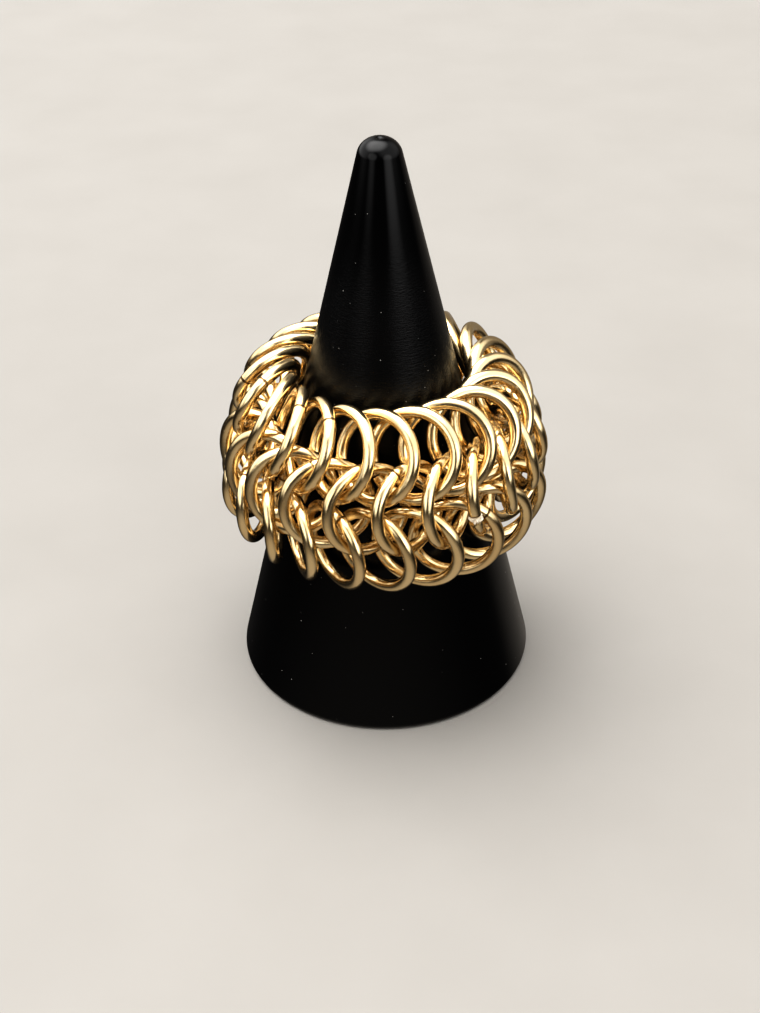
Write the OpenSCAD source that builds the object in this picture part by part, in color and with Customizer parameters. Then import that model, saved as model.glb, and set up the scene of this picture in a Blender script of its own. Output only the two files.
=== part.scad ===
// Finger ring of woven chain mail, pushed down on a tapered ring stand.
// Millimetres, +Z up. The origin is the centre of the stand's base, and -Y faces the viewer.
// The ring is a flat band of three rows of jump rings. The rows lean in turn to one side and to
// the other, and each middle link goes through three upper and three lower links.

/* [Stand] */
// Diameter of the base of the stand
base_d = 30; // [30:0.1:30.2]
// Height at which the straight flanks of the stand would meet
apex_h = 62.8; // [62:0.1:63]
// Height of the top of the stand
stand_h = 55.7; // [50:0.1:56]
// Radius that rounds the tip
tip_round = 1.7; // [0.5:0.1:1.7]
// Radius that rounds the edge of the base
foot_round = 0.5; // [0.1:0.1:2]
// Radius of the small round dimple in the tip
dimple_r = 0.5; // [0.3:0.05:0.8]
// Depth of that dimple
dimple_depth = 0.25; // [0.1:0.05:0.25]

/* [Jump rings] */
// Diameter of the round wire
wire_d = 1.2; // [0.8:0.05:1.2]
// Inside diameter of a link
link_id = 6.8; // [6.8:0.01:6.82]
// Width of the saw cut where the two ends of a link meet
seam_gap = 0.1; // [0.05:0.01:0.15]
// Number of links in each row
links_per_row = 21; // [21:1:21]
// Direction of link number 0 of the upper row, in degrees to the right of the front
first_link = -37.3; // [-180:0.1:180]

/* [Upper row] */
// Distance from the axis to the centres of the upper links
upper_r = 11.1; // [11.1:0.05:11.15]
// Height of the centres of the upper links
upper_h = 29.85; // [29.8:0.05:29.9]
// Slope of the upper links, where -90 is upright and less lets the upper edge fall inwards
upper_slope = -60.5; // [-61:0.5:-60]
// Lean of the upper links, which brings their right edges outwards
upper_lean = 33; // [32.5:0.5:33.5]

/* [Middle row] */
// Distance from the axis to the centres of the middle links
middle_r = 12.7; // [12.65:0.05:12.75]
// Height of the centres of the middle links
middle_h = 25.3; // [25.25:0.05:25.35]
// Slope of the middle links
middle_slope = -78.5; // [-79:0.5:-78]
// Lean of the middle links, which brings their left edges outwards
middle_lean = -35; // [-35.5:0.5:-34.5]
// Turn of the middle row about the axis, against the upper row
middle_turn = -4.2; // [-4.3:0.1:-4.1]

/* [Lower row] */
// Distance from the axis to the centres of the lower links
lower_r = 12.95; // [12.95:0.05:13]
// Height of the centres of the lower links
lower_h = 20.95; // [20.9:0.05:21]
// Slope of the lower links
lower_slope = -94; // [-94.5:0.5:-93.5]
// Lean of the lower links, which brings their right edges outwards
lower_lean = 34.5; // [34:0.5:35]
// Turn of the lower row about the axis, against the upper row
lower_turn = -0.7; // [-0.8:0.1:-0.6]

/* [Hidden] */
$fn = 96;

base_r = base_d / 2;
flank_angle = atan(base_r / apex_h);
tip_z = stand_h - tip_round;
tip_x = base_r * (1 - tip_z / apex_h) - tip_round / cos(flank_angle);
foot_x = base_r * (1 - foot_round / apex_h) - foot_round / cos(flank_angle);

link_r = (link_id + wire_d) / 2;
pitch = 360 / links_per_row;
seam_span = seam_gap / link_r * 180 / PI;

// Seams that show from the front: the number of the link, and where its seam lies on it,
// in degrees from its right edge over its top
UPPER_SEAMS = [[16, 2], [17, 10], [18, 42], [20, 50], [0, 46]];
MIDDLE_SEAMS = [[1, 112], [3, 112], [5, 192]];
LOWER_SEAMS = [[19, 61], [1, 69], [4, 49]];
// All other seams lie on the side of the link that faces the stand, each at its own place
upper_hidden_seam = 222;
middle_hidden_seam = 0;
lower_hidden_seam = 164;
seam_spread = 25;
seam_step = 200;

// Point on the flank's side of a rounding circle, where it meets the flank
function flank_point(x, z, r) = [x + r * cos(flank_angle), z + r * sin(flank_angle)];

// Place of the seam on link number k: from the list, or else on the hidden side
function seam_at(k, seams, hidden) =
    let (shown = [for (s = seams) if (s[0] == k) s[1]])
    len(shown) > 0 ? shown[0] : hidden + seam_spread * sin(seam_step * k);

// Half outline of the stand: axis on the left, flat foot below
module stand_outline() {
    difference() {
        intersection() {
            square([base_r, stand_h]);
            union() {
                polygon([
                    [0, 0],
                    [foot_x, 0],
                    flank_point(foot_x, foot_round, foot_round),
                    flank_point(tip_x, tip_z, tip_round),
                    [tip_x, stand_h],
                    [0, stand_h]
                ]);
                translate([foot_x, foot_round]) circle(r = foot_round);
                translate([tip_x, tip_z]) circle(r = tip_round);
            }
        }
        translate([0, stand_h + dimple_r - dimple_depth]) circle(r = dimple_r);
    }
}

// One jump ring, flat in the XY plane, with its saw cut at the angle seam
module jump_ring(seam) {
    rotate([0, 0, seam + seam_span / 2])
        rotate_extrude(angle = 360 - seam_span)
            translate([link_r, 0]) circle(d = wire_d);
}

// A closed row of leaning links round the axis
module link_row(radius, height, slope, lean, turn, seams, hidden) {
    for (k = [0 : links_per_row - 1]) {
        rotate([0, 0, first_link + turn + k * pitch])
            translate([0, -radius, height])
                rotate([-slope, 0, 0])
                    rotate([0, -lean, 0])
                        jump_ring(seam_at(k, seams, hidden));
    }
}

module upper_row() {
    link_row(upper_r, upper_h, upper_slope, upper_lean, 0, UPPER_SEAMS, upper_hidden_seam);
}

module middle_row() {
    link_row(middle_r, middle_h, middle_slope, middle_lean, middle_turn,
        MIDDLE_SEAMS, middle_hidden_seam);
}

module lower_row() {
    link_row(lower_r, lower_h, lower_slope, lower_lean, lower_turn,
        LOWER_SEAMS, lower_hidden_seam);
}

// Tapered stand with a rounded tip and a flat base
module cone_stand() {
    color("#141416") rotate_extrude() stand_outline();
}

// Upper and lower rows, which are the two edges of the band
module edge_links() {
    color("#d9b36a") {
        upper_row();
        lower_row();
    }
}

// Middle row, which holds the two edges together
module middle_links() {
    color("#e3c07c") middle_row();
}

cone_stand();
edge_links();
middle_links();
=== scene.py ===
# %% [markdown]
# # A chain mail ring on its stand
#
# The object is a finger ring made of round-wire jump rings. The links are woven into a flat band
# of three rows, and the band sits on a black tapered stand. A jeweller winds wire on a rod, saws
# the coil into single links, opens each link sideways, hooks it through its neighbours and
# closes it again. This lesson follows the same order: one link is wound and cut, copies of it
# are hung in their rows, and then wire, saw cuts and plastic get their finish.
#
# The imported model comes first. It is the fixed frame in which every piece has its place, and
# its nodes are kept in the scene.

# %% Load the imported model
import math

import bpy
from mathutils import Matrix, Quaternion, Vector


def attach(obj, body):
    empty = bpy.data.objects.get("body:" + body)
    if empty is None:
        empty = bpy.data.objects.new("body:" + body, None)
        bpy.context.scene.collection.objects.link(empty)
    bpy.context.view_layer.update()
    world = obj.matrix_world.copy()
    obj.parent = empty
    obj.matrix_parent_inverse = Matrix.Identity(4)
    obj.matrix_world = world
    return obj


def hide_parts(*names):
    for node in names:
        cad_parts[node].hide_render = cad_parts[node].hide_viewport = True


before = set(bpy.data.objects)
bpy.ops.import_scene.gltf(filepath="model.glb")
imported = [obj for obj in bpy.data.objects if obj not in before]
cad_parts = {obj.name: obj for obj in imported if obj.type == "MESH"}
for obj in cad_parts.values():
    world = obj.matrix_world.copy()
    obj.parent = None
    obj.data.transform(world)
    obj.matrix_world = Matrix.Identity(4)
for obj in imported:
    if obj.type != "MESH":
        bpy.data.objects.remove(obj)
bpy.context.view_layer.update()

MM = 0.001
print("nodes of the model:", sorted(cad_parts))

# %% [markdown]
# ## The camera
#
# A scene is seen through its camera, so the camera is made before anything else. It stands
# where the photographer stood: in front of the stand, about 40 degrees above the floor. A lens
# is easiest to fix by its height on the sensor, because the picture is upright. The camera is
# aimed at a point close to the axis of the stand and then turned a little about its own line of
# sight, because nobody holds a camera perfectly level. It sees as far as the floor reaches.

# %% Camera
CAMERA_AT = Vector((0.0, -129.04, 107.73)) * MM
LOOK_AT = Vector((-0.45, 0.0, 16.67)) * MM
CAMERA_ROLL = math.radians(-0.89)
LENS_MM = 55.67
SENSOR_HEIGHT_MM = 36.0
NEAREST_SEEN = 1.0
FARTHEST_SEEN = 30000.0


def add_camera():
    bpy.ops.object.camera_add(location=CAMERA_AT)
    camera = bpy.context.object
    aim = (LOOK_AT - CAMERA_AT).to_track_quat("-Z", "Y")
    camera.rotation_euler = (aim @ Quaternion((0, 0, 1), CAMERA_ROLL)).to_euler()
    camera.data.sensor_fit = "VERTICAL"
    camera.data.sensor_height = SENSOR_HEIGHT_MM
    camera.data.lens = LENS_MM
    camera.data.clip_start = NEAREST_SEEN * MM
    camera.data.clip_end = FARTHEST_SEEN * MM
    return camera


bpy.context.scene.camera = add_camera()
print("camera is", round(CAMERA_AT.length / MM), "mm from the foot of the stand")

# %% [markdown]
# ## The sizes that drive everything
#
# These are the same named values that shape the solid model, in millimetres and degrees. Only
# the dimple is told in another way, by the width of its rim and a tiny drop of that rim. A row
# of links is one circle of link centres: its radius and height, the slope and the lean of each
# link, and how far the row is turned about the axis. A link's seam is given by its angle on the
# link, from its right edge over its top.

# %% Sizes
WIRE_D = 1.2
LINK_ID = 6.8
SEAM_GAP = 0.1
LINKS_PER_ROW = 21
FIRST_LINK = -37.3

BASE_D = 30.0
APEX_H = 62.8
STAND_H = 55.7
TIP_ROUND = 1.7
FOOT_ROUND = 0.5
DIMPLE_D = 0.86
DIMPLE_DEPTH = 0.25
DIMPLE_RIM_DROP = 0.002

ROWS = {
    "upper_row": {"radius": 11.1, "height": 29.85, "slope": -60.5, "lean": 33.0, "turn": 0.0},
    "middle_row": {"radius": 12.7, "height": 25.3, "slope": -78.5, "lean": -35.0, "turn": -4.2},
    "lower_row": {"radius": 12.95, "height": 20.95, "slope": -94.0, "lean": 34.5, "turn": -0.7},
}
HIDDEN_SEAM = {"upper_row": 222.0, "middle_row": 0.0, "lower_row": 164.0}
SEAM_SPREAD = 25.0
SEAM_STEP = 200.0

link_r = (LINK_ID + WIRE_D) / 2
once_round = 2 * math.pi * link_r
pitch = 360.0 / LINKS_PER_ROW
print("one link takes", round(once_round - SEAM_GAP, 1), "mm of wire")

# %% [markdown]
# ## Small helpers for modelling
#
# The operators of Blender act on whatever is selected, and the loaded model leaves its nodes
# selected. So each step starts from nothing selected, and a finished piece has its place moved
# into its mesh, because patterns are measured from the object's own origin.

# %% Helpers for modelling


def deselect_all():
    if bpy.context.object and bpy.context.object.mode != "OBJECT":
        bpy.ops.object.mode_set(mode="OBJECT")
    bpy.ops.object.select_all(action="DESELECT")


def make_active(obj):
    deselect_all()
    obj.select_set(True)
    bpy.context.view_layer.objects.active = obj


def bake_place(obj):
    make_active(obj)
    bpy.ops.object.transform_apply(location=True, rotation=True, scale=True)


def select_parts(obj, kind, keep):
    """In edit mode, select the parts of one kind whose centre passes the test keep."""
    bpy.ops.mesh.select_mode(type=kind)
    bpy.ops.mesh.select_all(action="DESELECT")
    bpy.ops.object.mode_set(mode="OBJECT")
    mesh = obj.data
    if kind == "FACE":
        for face in mesh.polygons:
            face.select = keep(face.center)
    elif kind == "EDGE":
        for edge in mesh.edges:
            a, b = (mesh.vertices[i].co for i in edge.vertices)
            edge.select = keep((a + b) / 2)
    else:
        for vertex in mesh.vertices:
            vertex.select = keep(vertex.co)
    bpy.ops.object.mode_set(mode="EDIT")


def apply_modifier(obj, kind, **settings):
    make_active(obj)
    modifier = obj.modifiers.new(kind.lower(), kind)
    for name, value in settings.items():
        setattr(modifier, name, value)
    bpy.ops.object.modifier_apply(modifier=modifier.name)


# %% [markdown]
# ## One jump ring
#
# A jump ring could be the torus primitive, but a torus has no beginning and no end, and the
# saw-cut seam is what makes a link a link. So the link is wound as the jeweller winds it: a
# small circle, the section of the wire, is spun round the middle of the link almost all the way.
# Both ends are closed, and their rims get a very narrow bevel: a saw leaves a crisp edge, and
# only the last sharpness of it is worn off.

# %% Wind one link
WIRE_SIDES = 32
WIRE_STEPS = 96
RIM_BEVEL = 0.015

half_gap = SEAM_GAP / link_r / 2
step_angle = (2 * math.pi - 2 * half_gap) / WIRE_STEPS
print("one step of the spin is", round(step_angle * link_r, 2), "mm of wire")


def wind_link(name):
    """A link flat in XY, with its seam on +X and its two ends on either side of the X axis."""
    deselect_all()
    bpy.ops.mesh.primitive_circle_add(
        vertices=WIRE_SIDES,
        radius=WIRE_D / 2 * MM,
        location=(link_r * MM, 0, 0),
        rotation=(math.pi / 2, 0, 0),
    )
    link = bpy.context.object
    link.name = name
    bake_place(link)
    bpy.ops.object.mode_set(mode="EDIT")
    bpy.ops.mesh.select_all(action="SELECT")
    bpy.ops.mesh.spin(
        steps=WIRE_STEPS,
        angle=WIRE_STEPS * step_angle,
        center=(0, 0, 0),
        axis=(0, 0, 1),
    )
    bpy.ops.mesh.select_all(action="SELECT")
    bpy.ops.mesh.fill_holes(sides=0)
    bpy.ops.mesh.normals_make_consistent(inside=False)
    bpy.ops.object.mode_set(mode="OBJECT")
    link.data.transform(Matrix.Rotation(half_gap, 4, "Z"))
    bpy.ops.object.mode_set(mode="EDIT")
    select_parts(link, "FACE", lambda c: c.x > 0 and abs(c.y) < SEAM_GAP * MM)
    bpy.ops.mesh.region_to_loop()
    bpy.ops.mesh.bevel(offset=RIM_BEVEL * MM, segments=2, affect="EDGES")
    bpy.ops.object.mode_set(mode="OBJECT")
    return link


# %% [markdown]
# ## What hands and tools do to a seam
#
# No two hand-closed seams meet alike. One end can stand a little higher or to the side of the
# other. That is proportional editing: the last few millimetres of wire are pushed over together,
# as pliers do. A saw that slips leaves a second line beside the cut, which is a ring of edges,
# bevelled and then pressed in. And where a cut was never cleaned, its rim is crumbly: the points
# of the last bit of wire are shaken into lumps, rounded by a smooth subdivision and shaken once
# more, lightly, into grit. Each shake has a seed, so that it comes out the same each time.
#
# Places on a link are told by their distance from the seam, which is where the X axis points,
# and measured along the wire.

# %% Tools for the ends of a link
BEND_REACH = 3.0
END_REACH = 0.09
GROOVE_WIDTH = 0.02
GROOVE_DEPTH = 0.03
NEAR_GROOVE = 0.02
ON_GROOVE = 0.005
CRUMBS_REACH = 0.62
LUMP_HEIGHT = 0.13
GRIT_HEIGHT = 0.03

groove_at = (half_gap + step_angle) * link_r
print("the groove lies", round(groove_at, 2), "mm from the middle of the seam")


def past_seam(point):
    """How far a point is from the middle of the seam, in millimetres of wire."""
    return math.atan2(point.y, point.x) * link_r


def push_end(link, outwards, apart, sideways):
    """Bend the end on the -Y side of the seam."""
    bpy.ops.object.mode_set(mode="EDIT")
    select_parts(link, "VERT", lambda c: -END_REACH < past_seam(c) < 0)
    bpy.ops.transform.translate(
        value=(outwards * MM, -apart * MM, sideways * MM),
        use_proportional_edit=True,
        use_proportional_connected=True,
        proportional_edit_falloff="SMOOTH",
        proportional_size=BEND_REACH * MM,
    )
    bpy.ops.object.mode_set(mode="OBJECT")


def score_end(link):
    """Press a fine groove round the wire, one step of the spin away from the cut."""
    bpy.ops.object.mode_set(mode="EDIT")
    select_parts(link, "EDGE", lambda c: abs(past_seam(c) - groove_at) < NEAR_GROOVE)
    bpy.ops.mesh.bevel(offset=GROOVE_WIDTH * MM, segments=2, affect="EDGES")
    select_parts(link, "VERT", lambda c: abs(past_seam(c) - groove_at) < ON_GROOVE)
    bpy.ops.transform.shrink_fatten(value=-GROOVE_DEPTH * MM)
    bpy.ops.object.mode_set(mode="OBJECT")


def crumble_end(link):
    """Shake the last bit of wire on the +Y side of the seam."""
    bpy.ops.object.mode_set(mode="EDIT")
    select_parts(link, "FACE", lambda c: END_REACH < past_seam(c) < CRUMBS_REACH)
    bpy.ops.transform.vertex_random(offset=LUMP_HEIGHT * MM, uniform=0.3, normal=0.7, seed=3)
    bpy.ops.mesh.subdivide(number_cuts=2, smoothness=1.0)
    bpy.ops.transform.vertex_random(offset=GRIT_HEIGHT * MM, uniform=0.5, normal=0.5, seed=5)
    bpy.ops.object.mode_set(mode="OBJECT")


# %% [markdown]
# ## A map that follows the wire
#
# Drawing marks run along a wire, so a pattern needs to know two things at each point: how far
# it is along the wire, and how far round it. Both go into a UV map, in millimetres, worked out
# from the angle round the link and the angle round the wire. Each corner of a face is measured
# from the centre of its face, so no face is torn where an angle jumps from 360 to 0.

# %% Lay a map along the wire


def turn_near(angle, centre):
    """The angle, with whole turns added or taken so that it lies near centre."""
    return angle + 2 * math.pi * round((centre - angle) / (2 * math.pi))


def wire_angles(point):
    along = math.atan2(point.y, point.x) % (2 * math.pi)
    flat_r = math.hypot(point.x, point.y)
    around = math.atan2(point.z, link_r * MM - flat_r)
    return along, around


def lay_map(link):
    mesh = link.data
    layer = mesh.uv_layers.new(name="wire")
    for face in mesh.polygons:
        face_along, face_around = wire_angles(face.center)
        for loop in face.loop_indices:
            point = mesh.vertices[mesh.loops[loop].vertex_index].co
            along, around = wire_angles(point)
            along = turn_near(along, face_along)
            around = turn_near(around, face_around)
            layer.data[loop].uv = (along * link_r, around * WIRE_D / 2)


# %% [markdown]
# ## The kinds of seam
#
# The seams that show on this ring are of a few kinds: closed and even, scored twice, stepped
# where one end stands a little higher, offset where it stands well to the side, wedged where the
# cut gapes on one side, and crumbled. One link is wound for each kind, and the copies are taken
# from these.

# %% Wind the kinds of link
kinds = {
    name: wind_link("link_" + name)
    for name in ("even", "scored", "stepped", "offset", "wedged", "crumbled")
}
score_end(kinds["scored"])
for name in ("even", "scored", "crumbled"):
    push_end(kinds[name], outwards=0.02, apart=-0.05, sideways=0.02)
push_end(kinds["stepped"], outwards=0.06, apart=-0.06, sideways=0.07)
push_end(kinds["offset"], outwards=-0.05, apart=0.03, sideways=-0.34)
push_end(kinds["wedged"], outwards=0.05, apart=-0.04, sideways=-0.05)
crumble_end(kinds["crumbled"])
for name, link in kinds.items():
    lay_map(link)
    print(name, "link has", len(link.data.polygons), "faces")

# %% [markdown]
# ## Hanging the links in rows
#
# Each link is copied with a mesh of its own and put in its place by four turns, from the inside
# out: its seam about its own axis, its lean, its slope, and its place round the ring. The seams
# that show from the front are listed by the number of their link. The others lie against the
# stand, each at its own place.
#
# Copies that are exact would shine alike, and nothing made by hand does. So each copy's map is
# moved round the wire by a length of its own, which gives it other marks.

# %% Hang the links
SEAMS = {
    "upper_row": {
        16: (2, "wedged"),
        17: (10, "stepped"),
        18: (42, "wedged"),
        20: (50, "scored"),
        0: (46, "stepped"),
    },
    "middle_row": {1: (112, "offset"), 3: (112, "stepped"), 5: (192, "crumbled")},
    "lower_row": {19: (61, "scored"), 1: (69, "wedged"), 4: (49, "stepped")},
}
MAP_STEP = 7.3


def link_place(row, number, seam):
    place = Matrix.Rotation(math.radians(FIRST_LINK + row["turn"] + number * pitch), 4, "Z")
    place @= Matrix.Translation(Vector((0, -row["radius"], row["height"])) * MM)
    place @= Matrix.Rotation(math.radians(-row["slope"]), 4, "X")
    place @= Matrix.Rotation(math.radians(-row["lean"]), 4, "Y")
    place @= Matrix.Rotation(math.radians(seam), 4, "Z")
    return place


def hang_link(row_name, number):
    hidden = HIDDEN_SEAM[row_name] + SEAM_SPREAD * math.sin(math.radians(SEAM_STEP * number))
    seam, kind = SEAMS[row_name].get(number, (hidden, "even"))
    link = kinds[kind].copy()
    link.data = kinds[kind].data.copy()
    bpy.context.collection.objects.link(link)
    link.matrix_world = link_place(ROWS[row_name], number, seam)
    for corner in link.data.uv_layers["wire"].data:
        corner.uv.y += MAP_STEP * number
    for name in ("scored", "crumbled"):
        mark = link.data.attributes.new(name, "FLOAT", "POINT")
        mark.data.foreach_set("value", [float(name == kind)] * len(link.data.vertices))
    return link


def hang_row(row_name):
    links = [hang_link(row_name, number) for number in range(LINKS_PER_ROW)]
    deselect_all()
    for link in links:
        link.select_set(True)
    bpy.context.view_layer.objects.active = links[0]
    bpy.ops.object.join()
    row = bpy.context.object
    row.name = row_name
    bake_place(row)
    return row


rows = {name: hang_row(name) for name in ROWS}
for kind in kinds.values():
    bpy.data.objects.remove(kind)
print("rows hung:", sorted(rows))

# %% [markdown]
# ## Making the wire less than perfect
#
# Wire that was drawn, wound and bent with pliers is not a perfect tube. A displacement of up to
# two hundredths of a millimetre, from a soft cloud pattern, lets reflections bend a little along
# each link, as they do on real wire. It only presses in, so that no link becomes thicker than
# its wire. Shading is smooth along the wire and stays crisp at the cut ends, where the surface
# turns by more than the limit.

# %% Dent the wire
WAVE_SIZE = 2.2
WAVE_HEIGHT = 0.02
WIRE_EDGE_ANGLE = math.radians(18)

waves = bpy.data.textures.new("wire_waves", "CLOUDS")
waves.noise_scale = WAVE_SIZE * MM
waves.noise_depth = 1

for row in rows.values():
    apply_modifier(
        row,
        "DISPLACE",
        texture=waves,
        texture_coords="LOCAL",
        strength=WAVE_HEIGHT * MM,
        mid_level=1.0,
    )
    make_active(row)
    bpy.ops.object.shade_smooth_by_angle(angle=WIRE_EDGE_ANGLE)
    triangles = sum(len(face.vertices) - 2 for face in row.data.polygons)
    print(row.name, "has", triangles, "triangles")

# %% [markdown]
# ## The stand
#
# The stand is turned or moulded plastic: a straight taper with a rounded tip, a softened foot
# and a tiny dimple in the tip. A truncated cone primitive already has the taper. Its top rim is
# bevelled in edit mode into the round tip, its foot rim into the softened foot, and the small
# flat that is left on top is inset for the dimple. Each inset is pressed in by its share of the
# depth, which makes the hollow round. Its rim is a hair lower than the round tip would reach.

# %% Model the stand
STAND_SIDES = 192
TIP_SEGMENTS = 14
FOOT_SEGMENTS = 6
STAND_EDGE_ANGLE = math.radians(40)
ON_FLAT = 0.005
DIMPLE_STEPS = (0.075, 0.175, 0.3, 0.425)

base_r = BASE_D / 2
flank = math.atan(base_r / APEX_H)


def bevel_length(radius, turn):
    """How far a round of this radius reaches along both faces of a rim that turns by turn."""
    return radius * math.tan(turn / 2)


def model_stand():
    deselect_all()
    bpy.ops.mesh.primitive_cone_add(
        vertices=STAND_SIDES,
        radius1=base_r * MM,
        radius2=base_r * (1 - STAND_H / APEX_H) * MM,
        depth=STAND_H * MM,
        location=(0, 0, STAND_H / 2 * MM),
    )
    stand = bpy.context.object
    stand.name = "ring_stand"
    bake_place(stand)
    bpy.ops.object.mode_set(mode="EDIT")
    select_parts(stand, "FACE", lambda c: c.z > (STAND_H - ON_FLAT) * MM)
    bpy.ops.mesh.region_to_loop()
    bpy.ops.mesh.bevel(
        offset=bevel_length(TIP_ROUND, math.pi / 2 - flank) * MM,
        segments=TIP_SEGMENTS,
        affect="EDGES",
    )
    select_parts(stand, "FACE", lambda c: c.z < ON_FLAT * MM)
    bpy.ops.mesh.region_to_loop()
    bpy.ops.mesh.bevel(
        offset=bevel_length(FOOT_ROUND, math.pi / 2 + flank) * MM,
        segments=FOOT_SEGMENTS,
        affect="EDGES",
    )
    centre_top = Vector((0, 0, STAND_H)) * MM
    select_parts(stand, "FACE", lambda c: (c - centre_top).length < ON_FLAT * MM)
    bpy.ops.transform.translate(value=(0, 0, -DIMPLE_RIM_DROP * MM))
    ring_width = DIMPLE_D / 2 / (len(DIMPLE_STEPS) + 1)
    for share in DIMPLE_STEPS:
        bpy.ops.mesh.inset(thickness=ring_width * MM, depth=-DIMPLE_DEPTH * share * MM)
    bpy.ops.object.mode_set(mode="OBJECT")
    return stand


stand = model_stand()
make_active(stand)
bpy.ops.object.shade_smooth_by_angle(angle=STAND_EDGE_ANGLE)
print("stand has", len(stand.data.polygons), "faces")

# %% [markdown]
# ## Shader maths as Python
#
# A material is a small program. Written node by node it is hard to read, so one class wraps a
# socket and lets Python's own signs add the Math nodes, and one method makes any other node
# from its type, its settings and what goes into its sockets.

# %% Helpers for materials
BUMP_HEIGHT = 0.012


class Value:
    """One output socket of a shader tree. Plain arithmetic on it adds Math nodes."""

    def __init__(self, shader, socket):
        self.shader = shader
        self.socket = socket

    def _math(self, operation, *values):
        sockets = {i: v for i, v in enumerate(values)}
        return self.shader.node("ShaderNodeMath", {"operation": operation}, sockets)

    def __add__(self, other):
        return self._math("ADD", self, other)

    def __sub__(self, other):
        return self._math("SUBTRACT", self, other)

    def __mul__(self, other):
        return self._math("MULTIPLY", self, other)

    def __truediv__(self, other):
        return self._math("DIVIDE", self, other)

    def __rsub__(self, other):
        return self._math("SUBTRACT", other, self)

    __radd__ = __add__
    __rmul__ = __mul__

    def absolute(self):
        return self._math("ABSOLUTE", self)

    def least(self, other):
        return self._math("MINIMUM", self, other)

    def most(self, other):
        return self._math("MAXIMUM", self, other)

    def out(self, name):
        """Another output of the same node."""
        return Value(self.shader, self.socket.node.outputs[name])


class Shader:
    """A tree of shader nodes, of a material or of the world."""

    def __init__(self, tree):
        self.tree = tree

    def node(self, kind, settings=None, sockets=None):
        """Add a node, set it up, feed its sockets and give back its first output."""
        node = self.tree.nodes.new(kind)
        for name, value in (settings or {}).items():
            setattr(node, name, value)
        for name, value in (sockets or {}).items():
            self.feed(node.inputs[name], value)
        return Value(self, node.outputs[0])

    def feed(self, socket, value):
        if isinstance(value, Value):
            self.tree.links.new(value.socket, socket)
        else:
            socket.default_value = value

    def blend(self, share, first, second):
        """Mix two colours by a share."""
        mix = self.node("ShaderNodeMix", {"data_type": "RGBA"})
        inner = mix.socket.node
        self.feed(inner.inputs["Factor"], share)
        self.feed(inner.inputs[6], first)
        self.feed(inner.inputs[7], second)
        return Value(self, inner.outputs[2])

    def soft_step(self, value, low, high):
        """0 below low, 1 above high, and a smooth rise between them."""
        return self.node(
            "ShaderNodeMapRange",
            {"interpolation_type": "SMOOTHSTEP"},
            {"Value": value, "From Min": low, "From Max": high},
        )

    def fade_out(self, value, low, high):
        """1 below low, 0 above high, and a smooth fall between them."""
        return 1 - self.soft_step(value, low, high)

    def flat_point(self, x, y):
        """A place on a flat pattern."""
        return self.node("ShaderNodeCombineXYZ", {}, {"X": x, "Y": y})

    def noise(self, vector, scale, detail=2.0, roughness=0.5):
        return self.node(
            "ShaderNodeTexNoise",
            {"noise_dimensions": "3D"},
            {"Vector": vector, "Scale": scale, "Detail": detail, "Roughness": roughness},
        )

    def bump(self, height):
        """Normals of a surface that is raised by height, where 1 is BUMP_HEIGHT millimetres."""
        return self.node("ShaderNodeBump", {}, {"Height": height, "Distance": BUMP_HEIGHT * MM})


class Finish(Shader):
    """A material in the making: its tree and its one surface shader."""

    def __init__(self, name):
        self.material = bpy.data.materials.new(name)
        self.material.use_nodes = True
        super().__init__(self.material.node_tree)
        self.surface = self.tree.nodes["Principled BSDF"]

    def set_surface(self, **sockets):
        for name, value in sockets.items():
            self.feed(self.surface.inputs[name.replace("_", " ")], value)


# %% [markdown]
# ## The finish of the wire
#
# The wire is polished pale gold. What tells it from plain shiny yellow is fine: drawing marks that
# run along the wire, a skin that is never quite even, so that bright reflections end in ragged
# edges, and a few nicks from the pliers. Right at the saw cut, and in the groove of a scored end,
# the colour is painted dark brown: painted shade, where the gap and the groove lie in shade.
# The marks read the map that follows the wire, so they bend with each link. Where an end is
# crumbled, the metal is torn: it is duller there and rough with grit, and its colour is painted
# pale, partly as torn metal and partly as a painted glint.
#
# The marks and the skin have two scales: how often the pattern repeats in a millimetre along the
# wire, and round it. The tone and the grit lie in space, so their scales count in a metre. A fade
# is a pair of distances from the cut or the groove, in millimetres, between which something dies
# away.

# %% Finish of the wire
GOLD = (0.83, 0.67, 0.41, 1)
GOLD_DEEP = (0.79, 0.61, 0.35, 1)
# Painted shade: the dark brown painted into the saw cut and into the groove of a scored end.
SEAM_SHADE_BROWN = (0.24, 0.13, 0.05, 1)
# The pale of a crumbled end: torn metal, and partly a painted glint.
TORN_AND_GLINT = (0.95, 0.90, 0.82, 1)
MARKS_SCALE = (0.3, 9.0)
SKIN_SCALE = (1.4, 3.4)
TONE_SCALE = 220.0
GRIT_SCALE = 9000.0
NICKED_SKIN = (0.68, 0.74)
SEAM_SHADE_FADE = (0.05, 0.08)
SAWN_FADE = (0.1, 0.9)
GROOVE_FADE = (0.01, 0.03)
CRUMBS_FADE = (CRUMBS_REACH, CRUMBS_REACH + 0.1)


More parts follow.
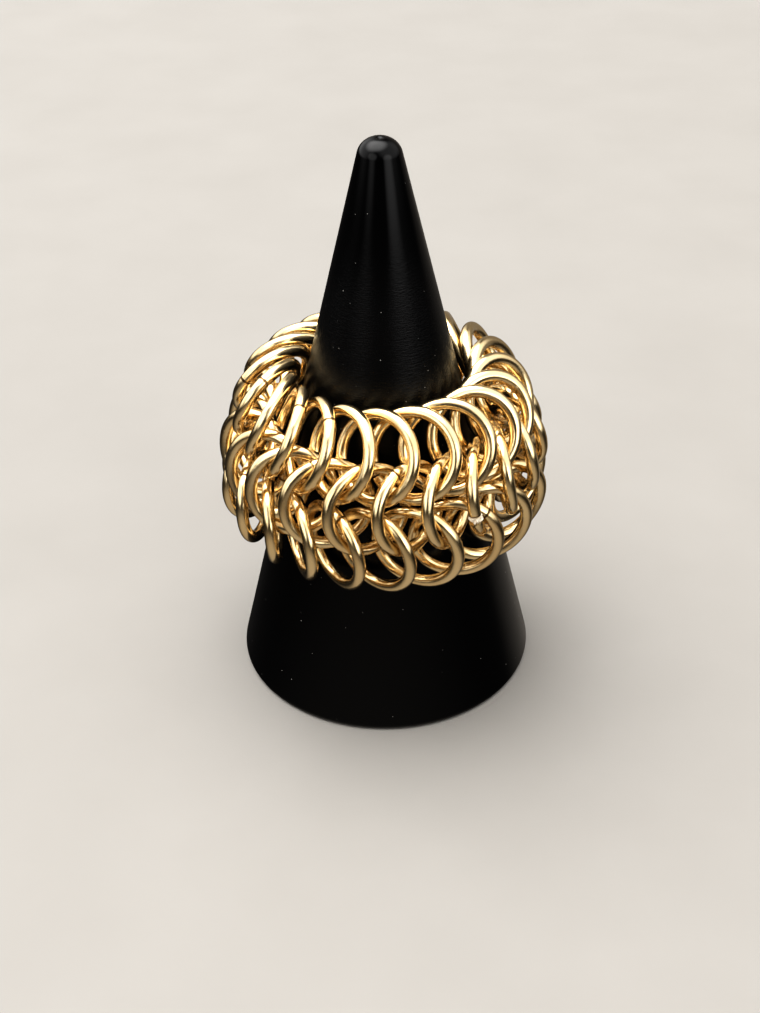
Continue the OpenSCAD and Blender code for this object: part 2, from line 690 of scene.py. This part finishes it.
def finish_wire():
    finish = Finish("drawn_gold")
    along_round = finish.node("ShaderNodeUVMap", {"uv_map": "wire"})
    parts = finish.node("ShaderNodeSeparateXYZ", {}, {"Vector": along_round})
    along = parts.out("X")
    around = parts.out("Y")

    marks_at = finish.flat_point(along * MARKS_SCALE[0], around * MARKS_SCALE[1])
    marks = finish.noise(marks_at, 1.0, detail=3.0, roughness=0.6)
    skin_at = finish.flat_point(along * SKIN_SCALE[0], around * SKIN_SCALE[1])
    skin = finish.noise(skin_at, 1.0, detail=4.0, roughness=0.6)
    nicks = finish.soft_step(skin, *NICKED_SKIN)

    from_seam = along.least(once_round - along)
    # Painted shade: how much dark brown is painted at the saw cut.
    cut_shade_share = finish.fade_out(from_seam, *SEAM_SHADE_FADE)
    near_seam = finish.fade_out(from_seam, *SAWN_FADE)
    scored = finish.node("ShaderNodeAttribute", {"attribute_name": "scored"}).out("Fac")
    crumbled = finish.node("ShaderNodeAttribute", {"attribute_name": "crumbled"}).out("Fac")
    groove_shade_line = finish.fade_out((along - groove_at).absolute(), *GROOVE_FADE) * scored
    crumbs = finish.fade_out(along, *CRUMBS_FADE) * crumbled

    place = finish.node("ShaderNodeTexCoord").out("Object")
    tone = finish.noise(place, TONE_SCALE)
    grit = finish.noise(place, GRIT_SCALE)
    colour = finish.blend(finish.soft_step(tone, 0.35, 0.7), GOLD, GOLD_DEEP)
    # Painted shade, dark brown, in the saw cut and along the groove of a scored end.
    painted_seam_shade = (cut_shade_share * (1 - crumbs) * 0.8).most(groove_shade_line * 0.85)
    colour = finish.blend(painted_seam_shade, colour, SEAM_SHADE_BROWN)
    # The crumbled end is painted pale, partly as torn metal and partly as a painted glint.
    colour = finish.blend(crumbs * 0.7, colour, TORN_AND_GLINT)

    roughness = 0.13 + marks * 0.08 + nicks * 0.12 + near_seam * skin * 0.12 + crumbs * 0.3
    height = marks * 1.0 + skin * 1.3 - nicks * 0.4 - near_seam * skin * 0.8 + crumbs * grit * 6.0
    finish.set_surface(
        Base_Color=colour,
        Metallic=1 - crumbs * 0.7,
        Roughness=roughness,
        Normal=finish.bump(height),
    )
    return finish.material


drawn_gold = finish_wire()

# %% [markdown]
# ## The finish of the stand
#
# Black plastic hardly has a colour of its own: it is told by what it mirrors and by what lies
# on it. The tip is smooth and glossy. Further down, as far as the band, the gloss is broken by
# fine short marks that run round the stand, left by all the rings that were pushed down and
# turned on it, and pale specks of dust gather there. The part below the band is kept nearly
# clean. Each pair of heights, in millimetres, says where such a stretch begins to end and where
# it has ended. The clouds and the specks repeat so often in a metre, and the turning marks so
# often in a radian round the stand and in a millimetre of its height.

# %% Finish of the stand
BLACK = (0.0012, 0.0012, 0.0014, 1)
DUST = (0.32, 0.31, 0.29, 1)
WORN_UP_TO = (40.0, 50.0)
DUSTY_UP_TO = (32.0, 50.0)
CLEAN_UP_TO = (16.0, 30.0)
CLOUD_SCALE = 160.0
SPECK_SCALE = 1800.0
TURNING_MARKS_SCALE = (8.0, 7.0)


def finish_stand():
    finish = Finish("moulded_black")
    place = finish.node("ShaderNodeTexCoord").out("Object")
    parts = finish.node("ShaderNodeSeparateXYZ", {}, {"Vector": place})
    turn = finish.node("ShaderNodeMath", {"operation": "ARCTAN2"}, {0: parts.out("Y"), 1: parts})
    height_mm = parts.out("Z") / MM
    worn = finish.fade_out(height_mm, *WORN_UP_TO)
    low_down = finish.fade_out(height_mm, *DUSTY_UP_TO)
    kept_clean = finish.fade_out(height_mm, *CLEAN_UP_TO)

    clouds = finish.noise(place, CLOUD_SCALE, detail=3.0)
    round_scale, height_scale = TURNING_MARKS_SCALE
    marks_at = finish.flat_point(turn * round_scale, height_mm * height_scale)
    marks = finish.noise(marks_at, 1.0, roughness=0.7)

    cells = finish.node(
        "ShaderNodeTexVoronoi", {"feature": "F1"}, {"Vector": place, "Scale": SPECK_SCALE}
    )
    chance = finish.node("ShaderNodeSeparateColor", {}, {"Color": cells.out("Color")})
    dusty = low_down * 0.4 - kept_clean * 0.36 + (clouds - 0.5) * 0.6
    is_speck = finish.soft_step(chance + dusty, 0.9, 0.91)
    size = chance.out("Green") * chance.out("Green") * 0.09 + 0.035
    speck = finish.fade_out(cells, size * 0.6, size) * is_speck

    colour = finish.blend(speck, BLACK, DUST)
    dull = worn * (1 - kept_clean * 0.6)
    roughness = 0.09 + clouds * 0.06 + dull * 0.2 + speck * 0.5
    height = speck + marks * worn * (1 - kept_clean) * 2.2 + clouds * 0.2
    finish.set_surface(
        Base_Color=colour,
        Roughness=roughness,
        Specular_IOR_Level=0.25,
        Normal=finish.bump(height),
    )
    return finish.material


moulded_black = finish_stand()

# %% [markdown]
# ## Dressing the pieces
#
# The modelled rows stand in for the links of the solid model, and the modelled stand for its
# cone, so those nodes are hidden. Every piece rides on the one body of the part and gets its
# finish: the rows the drawn gold, the stand the moulded black.

# %% Dress the pieces
for name, row in rows.items():
    row.data.materials.clear()
    row.data.materials.append(drawn_gold)
    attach(row, "root")
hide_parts("edge_links")
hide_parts("edge_links")
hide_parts("middle_links")

stand.data.materials.clear()
stand.data.materials.append(moulded_black)
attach(stand, "root")
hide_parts("cone_stand")

# %% [markdown]
# ## Floor and light
#
# Polished metal shows nothing but its surroundings, so most of the look of this ring is its
# light. It is a large soft dome, as a product photographer's tent is: brightest overhead, weaker
# on the left and on the right, with a small light on either side of the gap where the camera
# stands. A faint warm light comes from behind, and one comes up from below, as a pale floor gives
# light back. The dome is made in the world shader. The direction that a ray looks in is
# compared with the direction of each light, and between two angles, the core and the edge, the
# light fades from full to nothing. The lights that hang above the floor also fade out at the
# horizon, where the floor hides them.
#
# The floor is plain and pale, and so wide that it ends at the horizon. A pale floor would turn
# black plastic grey and take the depth out of the metal, so it is kept out of their reflections,
# and the lower part of the dome takes its place there. It casts no shadow, which lets that part
# of the dome light the ring from below. The view settings are those of a plain display with
# strong contrast.

# %% Floor and light
FLOOR_SIZE = 20000.0
FLOOR_GREY = (0.21, 0.20, 0.185, 1)
FLOOR_LIGHT = (0.235, 0.225, 0.21, 1)
FLOOR_GRAIN_SCALE = 60.0

DOME_DIM = (0.035, 0.033, 0.031)
WHITE = (1.0, 0.99, 0.98)
WARM = (1.0, 0.91, 0.80)
HORIZON = (-0.10, 0.12)
DOME_LIGHTS = {
    "overhead": {"aim": (-125, 75), "core": 10, "edge": 45, "light": 4.6, "tint": WHITE},
    "left": {"aim": (-115, 30), "core": 15, "edge": 65, "light": 1.4, "tint": WHITE},
    "right": {"aim": (75, 50), "core": 25, "edge": 65, "light": 1.2, "tint": WHITE},
    "front left": {"aim": (-40, 25), "core": 10, "edge": 28, "light": 1.6, "tint": WHITE},
    "front right": {"aim": (40, 15), "core": 10, "edge": 27, "light": 1.6, "tint": WHITE},
    "back": {"aim": (150, -5), "core": 30, "edge": 50, "light": 0.2, "tint": WARM},
    "floor": {"aim": (-10, -60), "core": 15, "edge": 70, "light": 0.37, "tint": WARM},
}


def lay_floor():
    deselect_all()
    bpy.ops.mesh.primitive_plane_add(size=FLOOR_SIZE * MM)
    floor = bpy.context.object
    floor.name = "floor"
    floor.visible_glossy = False
    floor.visible_shadow = False
    finish = Finish("pale_floor")
    place = finish.node("ShaderNodeTexCoord").out("Object")
    grain = finish.noise(place, FLOOR_GRAIN_SCALE, detail=4.0)
    finish.set_surface(Base_Color=finish.blend(grain, FLOOR_GREY, FLOOR_LIGHT), Roughness=0.7)
    floor.data.materials.append(finish.material)
    return floor


def direction(bearing, height):
    """Unit vector at an angle to the right of the front and an angle above the floor."""
    bearing = math.radians(bearing)
    height = math.radians(height)
    flat = math.cos(height)
    return Vector((math.sin(bearing) * flat, -math.cos(bearing) * flat, math.sin(height)))


def light_dome():
    world = bpy.data.worlds.new("studio")
    bpy.context.scene.world = world
    world.use_nodes = True
    dome = Shader(world.node_tree)
    towards = dome.node("ShaderNodeTexCoord").out("Generated")
    towards = dome.node("ShaderNodeVectorMath", {"operation": "NORMALIZE"}, {0: towards})
    upwards = dome.node("ShaderNodeSeparateXYZ", {}, {"Vector": towards}).out("Z")
    above_floor = dome.soft_step(upwards, *HORIZON)
    glow = dome.node("ShaderNodeCombineXYZ", {}, dict(enumerate(DOME_DIM)))
    for part in DOME_LIGHTS.values():
        aim = direction(*part["aim"])
        match = dome.node("ShaderNodeVectorMath", {"operation": "DOT_PRODUCT"}, {0: towards, 1: aim})
        low = math.cos(math.radians(part["edge"]))
        high = math.cos(math.radians(part["core"]))
        share = dome.soft_step(match.out("Value"), low, high)
        if part["aim"][1] > 0:
            share = share * above_floor
        lit = dome.node(
            "ShaderNodeVectorMath",
            {"operation": "SCALE"},
            {0: Vector(part["tint"]) * part["light"], "Scale": share},
        )
        glow = dome.node("ShaderNodeVectorMath", {"operation": "ADD"}, {0: glow, 1: lit})
    dome.feed(world.node_tree.nodes["Background"].inputs["Color"], glow)


lay_floor()
light_dome()
bpy.context.scene.view_settings.view_transform = "Standard"
bpy.context.scene.view_settings.look = "High Contrast"
